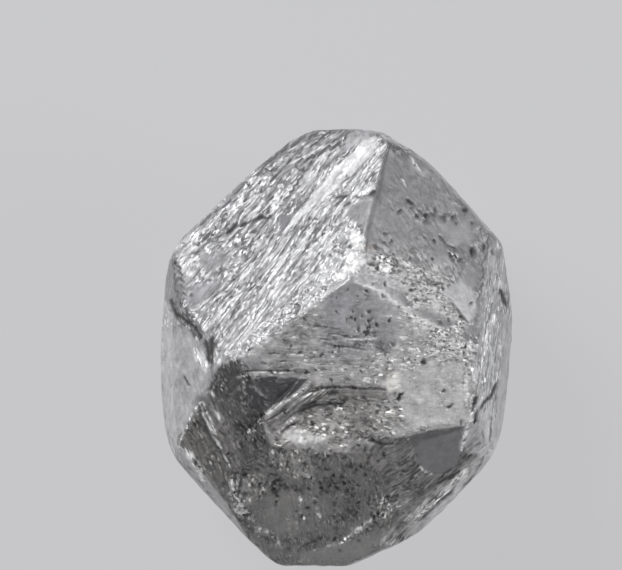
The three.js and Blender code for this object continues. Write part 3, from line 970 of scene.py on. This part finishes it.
def work_relief(surface):
    """Works waves, striations, crumbs and chipped edges into the whole stone."""
    wide = Noise("wide")
    fine = Noise("fine")
    points, grain, finish = surface.points, surface.grain, surface.finish

    # The etching comes in patches and the striations in bundles, and both stop at the facets' edges.
    finish["rough"] *= 0.3 + 1.2 * smooth_ramp(wide(points, 0.45, 70) + 0.5 * fine(points, 0.16), -0.8, 0.8)
    finish["striped"] *= 0.55 + 0.7 * smooth_ramp(wide(grain, (0.4, 1.2, 1.2), 90), -0.4, 0.5)
    for name in ("rough", "striped"):
        finish[name] *= surface.seam

    surface.height += LONG_SWELL * wide(points, 1.4) + SHORT_SWELL * wide(points, 0.5, 31)
    surface.body *= 1 + (MOTTLING * (1 - surface.front) * wide(points, 0.7, 12))[:, None]
    bent = grain + GRAIN_BEND * wide.at_shifts(points, 0.8, (3, 50, 90))
    ridges = wide(bent, (0.15, 1.0, 1.3)) + 0.6 * fine(bent, (0.08, 0.6, 1.3))
    splinters, _, _ = fine.flakes(bent, (0.14, 0.5, 0.5))
    etching, _, _ = fine.flakes(bent, (0.11, 0.27, 0.15))
    surface.height += finish["striped"] * (RIDGE * ridges + SPLINTER * splinters)
    surface.height += finish["rough"] * ETCHING * etching

    _, inside, share = wide.flakes(points, CHIP_SIZE)
    chipped = smooth_ramp(share, 0.45, 0.9) * smooth_ramp(inside, 0.0, 0.25) * hump(surface.edge, CHIP_REACH)
    surface.height -= (HIDDEN_CHIP + CHIP_DEEPENING * surface.front) * surface.fresh * chipped


def work_marks(surface):
    """Adds the cracks of the photographed side, and its ledges with their painted glints."""
    crumble = Noise("crumble")
    ragged = 1 + 0.5 * crumble(surface.points, 0.07)
    unbroken = smooth_ramp(crumble(surface.points, 0.3, 20), -0.7, 0.0)
    rough = surface.finish["rough"]
    for marks, look in ((CRACKS, CRACK), (LEDGES_AND_GLINTS, LEDGE_AND_GLINT)):
        for width, line in marks.values():
            here = near_line(surface.flat, line, 2 * width * MM_PER_PX)
            gap, along = stroke_distance(surface.flat[here], line)
            ends = smooth_ramp(np.minimum(along, 1 - along), -0.02, 0.15)
            reach = 0.5 * width * MM_PER_PX * (0.5 + 0.5 * ends) * ragged[here]
            amount = hump(gap, reach) * surface.front[here]
            amount *= np.maximum(unbroken[here], smooth_ramp(width, *BROKEN_WIDTHS))
            surface.height[here] += look["height"] * amount * surface.normals[here, 2]
            rough[here] += amount * np.maximum(1.1 - rough[here], 0)
            surface.finish_as("matt", here, amount, look["matt"])
            # On a ledge this tint is the painted glint; on a crack it is the crack's dark colour.
            surface.tint(here, smooth_ramp(width, 0.0, 5.0) * 1.2 * amount, look["body"])


def sink_specks(surface):
    """Adds the specks of the photographed side: the named ones, then strays that keep to drifts."""
    crumble = Noise("crumble")
    draw = np.random.default_rng(SEEDS["specks"])
    torn = 1 + 0.8 * crumble(surface.points, 0.04)
    chance = surface.finish["specked"] * surface.front * smooth_ramp(surface.normals[:, 2], 0.3, 0.6)
    chance *= smooth_ramp(crumble(surface.points, 0.5, 50), -0.4, 0.5)
    strays = draw.choice(len(chance), STRAY_SPECKS, replace=False, p=chance / chance.sum())
    specks = [(from_photo(x, y), size * MM_PER_PX) for x, y, size in sum(SPECKS.values(), [])]
    specks += [(surface.flat[stray], draw.uniform(*STRAY_SIZES)) for stray in strays]
    for middle, size in specks:
        turn, stretch, depth = draw.uniform(SPECK_LEAST, SPECK_MOST)
        here = np.nonzero((np.abs(surface.flat - middle) < size).all(axis=1))[0]
        offset = surface.flat[here] - middle
        along = offset @ [math.cos(turn), math.sin(turn)] / stretch
        across = offset @ [-math.sin(turn), math.cos(turn)] * stretch ** 0.5
        gap = np.hypot(along, across) / (SPECK_SPREAD * size * np.maximum(torn[here], 0.2))
        amount = depth * (1 - smooth_ramp(gap, 0.5, 1.3)) * surface.front[here]
        surface.height[here] += SPECK["height"] * amount
        surface.finish_as("matt", here, amount, SPECK["matt"])
        surface.tint(here, amount, SPECK["body"])


def breakage(node, rays, normals, distances):
    """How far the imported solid's step and hollows lie inside its facets, along each ray. The rays sway a
    little, so that no break is ruled."""
    cad = bmesh.new()
    cad.from_mesh(node.data)
    bmesh.ops.remove_doubles(cad, verts=cad.verts, dist=LEAST_BREAK * MM)
    tree = BVHTree.FromBMesh(cad)
    bent = unit(rays + BREAK_SWAY * Noise("breakage").at_shifts(rays, 1 / 9, (0, 30, 60)))
    reach = np.array([tree.ray_cast(Vector(HEART * MM), Vector(ray))[3] for ray in bent]) / MM
    whole = 1 / facet_nearness(bent, normals, distances).max(axis=1)
    return np.maximum(whole - reach - LEAST_BREAK, 0)


def stone_piece(node):
    """The stone's visible surface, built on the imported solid."""
    normals, distances = facet_planes(node)
    ball = fine_ball(normals, distances)
    rays = ball_rays(ball)
    surface = Surface(rays, normals, distances, breakage(node, rays, normals, distances))
    finish_patches(surface)
    work_relief(surface)
    work_marks(surface)
    sink_specks(surface)

    points = surface.points + surface.normals * surface.height[:, None]
    points[:, 2] = np.maximum(points[:, 2], 0)
    for vert, place in zip(ball.verts, points):
        vert.co = Vector(place * MM)
    mesh = bpy.data.meshes.new("rough_diamond_surface")
    ball.to_mesh(mesh)
    mesh.shade_smooth()
    for name, values in {"body": surface.body, "grain": surface.grain, **surface.finish}.items():
        kind, field = ("FLOAT_VECTOR", "vector") if values.ndim == 2 else ("FLOAT", "value")
        attribute = mesh.attributes.new(name, kind, "POINT")
        attribute.data.foreach_set(field, np.ascontiguousarray(values, np.float32).ravel())
    stone = bpy.data.objects.new("rough_diamond_surface", mesh)
    bpy.context.scene.collection.objects.link(stone)
    return stone


def add_node(tree, kind, inputs=(), output=0, **settings):
    """Adds a shader node and returns one of its outputs. Each input is a value or another node's output."""
    node = tree.nodes.new("ShaderNode" + kind)
    for name, value in settings.items():
        setattr(node, name, value)
    for socket, value in dict(inputs).items():
        if isinstance(value, bpy.types.NodeSocket):
            tree.links.new(value, node.inputs[socket])
        else:
            node.inputs[socket].default_value = value
    return node.outputs[output] if node.outputs else node


def new_material(name):
    """An empty material, and the function that adds a node to it."""
    material = bpy.data.materials.new(name)
    material.use_nodes = True
    material.node_tree.nodes.clear()
    return material, functools.partial(add_node, material.node_tree)


def tilted_flakes(add, place, sizes):
    """Flakes of these sizes that each tilt their own way: their random tone, and their height."""
    cell = add("VectorMath", {0: place, 1: sizes}, operation="DIVIDE")
    tone = add("TexVoronoi", {"Vector": cell, "Scale": 1}, "Color")
    tilt = add("VectorMath", {0: tone, 1: (0.5, 0.5, 0.5)}, operation="SUBTRACT")
    offset = add("VectorMath", {0: cell, 1: tone.node.outputs["Position"]}, operation="SUBTRACT")
    return tone, add("VectorMath", {0: tilt, 1: offset}, "Value", operation="DOT_PRODUCT")


def grey_diamond():
    """Grey rough diamond: adamantine, with silvery striations, frosted flakes and black specks."""
    material, add = new_material("grey_diamond")
    body, grain = (add("Attribute", output="Vector", attribute_name=name) for name in ("body", "grain"))
    striped, rough, specked, matt = (
        add("Attribute", output="Fac", attribute_name=name) for name in Surface.FINISH)
    metres = add("TexCoord", output="Object")
    place = add("VectorMath", {0: metres, 1: (MM, MM, MM)}, operation="DIVIDE")

    # The patterns wander: a wave of 0.6 mm bends the grain, so no streak is straight.
    wave = add("TexNoise", {"Vector": place, "Scale": 1 / 0.6, "Detail": 2}, "Color")
    wave = add("VectorMath", {0: wave, 1: (0.5, 0.5, 0.5)}, operation="SUBTRACT")
    bent = add("VectorMath", {0: wave, 1: (0.16, 0.16, 0.16), 2: grain}, operation="MULTIPLY_ADD")

    # Striations, which are threads and long slivers, and the crumbs of etched places.
    fibre = add("VectorMath", {0: bent, 1: THREADS}, operation="DIVIDE")
    thread = add("TexNoise", {"Vector": fibre, "Scale": 1, "Detail": 2, "Roughness": 0.6})
    sliver_tone, sliver_rise = tilted_flakes(add, bent, SLIVERS)
    crumb_tone, crumb_rise = tilted_flakes(add, bent, CRUMBS)

    # The relief of both. A height of 1 is 0.022 mm.
    striped_rise = add("Math", {0: thread, 1: 0.9, 2: sliver_rise}, operation="MULTIPLY_ADD")
    striped_rise = add("Math", {0: striped_rise, 1: striped}, operation="MULTIPLY")
    relief = add("Math", {0: crumb_rise, 1: rough, 2: striped_rise}, operation="MULTIPLY_ADD")
    bump = add("Bump", {"Height": relief, "Strength": 1.0, "Distance": 0.022 * MM})

    # Frosted flakes are paler than polished ones. Painted shade darkens the furrows between threads and
    # painted light lightens their crests, and a few crumbs get painted glints, bright spots in the base
    # colour.
    sliver_share = add("SeparateColor", {"Color": sliver_tone})
    sliver_light = add("MapRange", {"Value": sliver_share, "To Min": -0.4, "To Max": 0.4})
    furrow_shading = add(
        "MapRange", {"Value": thread, "From Min": 0.3, "From Max": 0.7, "To Min": -0.7, "To Max": 0.7})
    streak = add("Math", {0: sliver_light, 1: furrow_shading}, operation="ADD")
    streak = add("Math", {0: streak, 1: striped}, operation="MULTIPLY")
    crumb_share = add("SeparateColor", {"Color": crumb_tone})
    crumb_light = add("MapRange", {"Value": crumb_share, "To Min": -0.7, "To Max": 0.45})
    painted_glint = crumb_share.node.outputs["Green"]
    painted_glint = add("MapRange", {"Value": painted_glint, "From Min": 0.94, "From Max": 0.97, "To Max": 1.8})
    crumb_light = add("Math", {0: crumb_light, 1: painted_glint}, operation="ADD")
    lights = add("Math", {0: crumb_light, 1: rough, 2: streak}, operation="MULTIPLY_ADD")

    # A cloudy mottling, of features of 0.25 mm and smaller.
    cloud = add("TexNoise", {"Vector": place, "Scale": 1 / 0.25, "Detail": 6, "Roughness": 0.8})
    cloud = add(
        "MapRange", {"Value": cloud, "From Min": 0.3, "From Max": 0.7, "To Min": 0.42, "To Max": 1.58})
    gain = add("Math", {0: lights, 1: cloud}, operation="ADD")
    gain = add("Math", {0: gain, 1: 0.2}, operation="MAXIMUM")

    # The smallest black specks, in drifts: none is wider than about 0.09 mm.
    dots = add("VectorMath", {0: bent, 1: DOTS}, operation="DIVIDE")
    dots = add("TexVoronoi", {"Vector": dots, "Scale": 1})
    pick = add("SeparateColor", {"Color": dots.node.outputs["Color"]})
    drifts = add("TexNoise", {"Vector": place, "Scale": 1 / 0.8, "Detail": 1})
    drifts = add("MapRange", {"Value": drifts, "From Min": 0.4, "From Max": 0.75, "To Max": 0.55})
    often = add("Math", {0: drifts, 1: specked}, operation="MULTIPLY")
    size = add("Math", {0: often, 1: pick}, operation="SUBTRACT")
    size = add("Math", {0: size, 1: 0.22}, operation="MINIMUM")
    speck = add("Math", {0: dots, 1: size}, operation="LESS_THAN")
    clear = add("Math", {0: speck, 1: -0.8, 2: 1.0}, operation="MULTIPLY_ADD")
    gain = add("Math", {0: gain, 1: clear}, operation="MULTIPLY")

    # Diamond's own refractive index, and a gloss from nearly polished to frosted.
    colour = add("VectorMath", {0: body, "Scale": gain}, operation="SCALE")
    gloss = add("Math", {0: matt, 1: 0.25, 2: 0.2}, operation="MULTIPLY_ADD")
    shader = add("BsdfPrincipled", {"Base Color": colour, "Normal": bump, "Roughness": gloss, "IOR": 2.417})
    add("OutputMaterial", {"Surface": shader})
    return material


def pale_paper():
    """The plain backdrop paper: matt, and lit evenly from behind so that it stays pale under the stone."""
    material, add = new_material("pale_paper")
    matt = add("BsdfDiffuse", {"Color": (*linear("#5c5c5d"), 1)})
    glow = add("Emission", {"Color": (*linear("#fdfdff"), 1), "Strength": 0.51})
    both = add("AddShader", {0: matt, 1: glow})
    add("OutputMaterial", {"Surface": both})
    return material


def add_camera():
    """Looks straight down on the stone through a long lens, so that it fills the photograph's frame."""
    data = bpy.data.cameras.new("camera")
    data.sensor_width = FILM_WIDTH
    data.lens = FILM_WIDTH * CAMERA_HEIGHT / (PHOTO_WIDTH_PX * MM_PER_PX)
    data.clip_start = MM
    camera = bpy.data.objects.new("camera", data)
    camera.location = Vector((*from_photo(*PHOTO_MIDDLE_PX), HEART[2] + CAMERA_HEIGHT)) * MM
    bpy.context.scene.collection.objects.link(camera)
    bpy.context.scene.camera = camera


def add_floor():
    """A round sheet of backdrop paper under the stone."""
    shape = bmesh.new()
    bmesh.ops.create_circle(shape, cap_ends=True, segments=96, radius=FLOOR_RADIUS * MM)
    mesh = bpy.data.meshes.new("floor")
    shape.to_mesh(mesh)
    mesh.materials.append(pale_paper())
    floor = bpy.data.objects.new("floor", mesh)
    bpy.context.scene.collection.objects.link(floor)


def light_studio():
    """The round softboxes, all turned to the stone, in a grey room."""
    for name, (bearing, tilt, distance, width, power) in SOFTBOXES.items():
        data = bpy.data.lights.new(name, "AREA")
        data.shape = "DISK"
        data.size = width * MM
        data.energy = power
        lamp = bpy.data.objects.new(name, data)
        direction = Vector(compass(bearing, tilt))
        lamp.location = direction * distance * MM
        lamp.rotation_euler = direction.to_track_quat("Z", "Y").to_euler()
        bpy.context.scene.collection.objects.link(lamp)
    world = bpy.data.worlds.new("studio")
    bpy.context.scene.world = world
    world.use_nodes = True
    world.node_tree.nodes["Background"].inputs["Color"].default_value = (*linear(STUDIO_GREY), 1)


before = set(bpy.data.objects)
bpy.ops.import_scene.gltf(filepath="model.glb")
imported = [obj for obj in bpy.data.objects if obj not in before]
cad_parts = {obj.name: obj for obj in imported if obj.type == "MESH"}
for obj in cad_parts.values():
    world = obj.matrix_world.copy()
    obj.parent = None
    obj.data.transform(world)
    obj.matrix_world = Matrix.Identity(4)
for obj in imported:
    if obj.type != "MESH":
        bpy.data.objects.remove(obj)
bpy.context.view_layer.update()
bpy.context.scene.view_settings.view_transform = "Standard"
add_camera()
stone = stone_piece(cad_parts["rough_diamond"])
stone.data.materials.append(grey_diamond())
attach(stone, "root")
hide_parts("rough_diamond")
add_floor()
light_studio()
